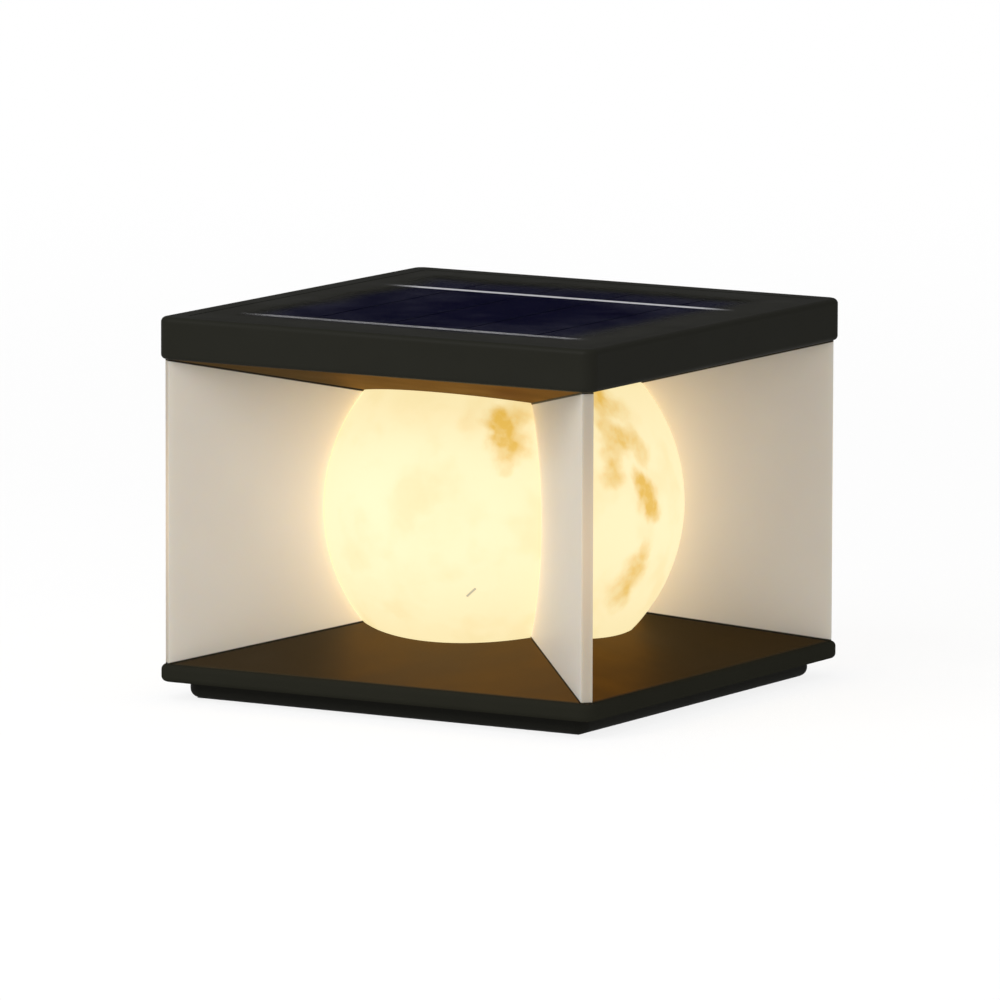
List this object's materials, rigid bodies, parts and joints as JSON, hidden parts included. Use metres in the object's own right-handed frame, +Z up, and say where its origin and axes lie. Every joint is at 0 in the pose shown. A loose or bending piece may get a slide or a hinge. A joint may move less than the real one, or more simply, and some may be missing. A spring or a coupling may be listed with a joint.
{
  "type": "solar pillar lantern",
  "caption": "Square solar-topped pillar lantern with a glowing moon globe between a pyramidal floor and ceiling, and opal fins on its diagonals.",
  "frame": {"origin": "centre of the square underside, on the surface that the lantern stands on", "axes": "+Z up; -Y is the front, +Y the side with the push button; +X to the right seen from the front"},
  "size_m": [0.2522, 0.2522, 0.1934],
  "materials": {
    "powder_coat": "fine matt powder coat, olive black",
    "moon_plastic": "opal polyethylene, lit from inside",
    "opal_acrylic": "satin opal acrylic sheet",
    "silicone": "soft silicone",
    "black_rubber": "closed-cell EPDM",
    "zinc_steel": "zinc-plated steel",
    "stainless": "stainless steel",
    "raw_aluminium": "extruded, unfinished",
    "white_board": "white solder mask on aluminium board",
    "led_yellow": "phosphor over a white package",
    "green_board": "green solder mask",
    "black_plastic": "moulded nylon",
    "cell_wrap": "shrink wrap, plain blue",
    "cell_silicon": "monocrystalline silicon, navy black",
    "ribbon_silver": "tinned copper ribbon",
    "panel_glass": "clear toughened cover",
    "lead_black": "PVC sheath"
  },
  "bodies": {
    "lantern": {"base_plinth": "powder_coat", "floor_plate": "powder_coat", "ceiling_plate": "powder_coat", "top_cap": "powder_coat", "base_gasket": "black_rubber", "cap_gasket": "black_rubber", "panel_seal": "black_rubber", "lead_grommet": "black_rubber", "button_seal": "black_rubber", "lower_seal": "silicone", "upper_seal": "silicone", "moon_globe": "moon_plastic", "fin_front_left": "opal_acrylic", "fin_front_right": "opal_acrylic", "fin_back_left": "opal_acrylic", "fin_back_right": "opal_acrylic", "lock_screws": "stainless", "cap_screws": "stainless", "tie_tube": "zinc_steel", "tie_washers": "zinc_steel", "tie_nuts": "zinc_steel", "board_screws": "zinc_steel", "battery_contacts": "zinc_steel", "button_spring": "stainless", "led_post": "raw_aluminium", "led_boards": "white_board", "led_chips": "led_yellow", "controller_board": "green_board", "panel_board": "green_board", "board_parts": "black_plastic", "battery_holder": "black_plastic", "lamp_plug": "white_board", "button_housing": "black_plastic", "button_nut": "black_plastic", "battery_cells": "cell_wrap", "solar_cells": "cell_silicon", "cell_ribbons": "ribbon_silver", "panel_cover": "panel_glass", "lamp_lead": "lead_black", "battery_lead": "lead_black", "panel_lead": "lead_black", "button_lead": "lead_black"},
    "button": {"button_head": "black_plastic"}
  },
  "joints": [
    {"name": "button_press", "type": "slide", "parent": "lantern", "child": "button", "axis": [0, 0, 1], "range_m": [0, 0.0015], "stiffness_N_per_m": 400, "springref_m": -0.004, "deforming": ["button_spring"]}
  ]
}
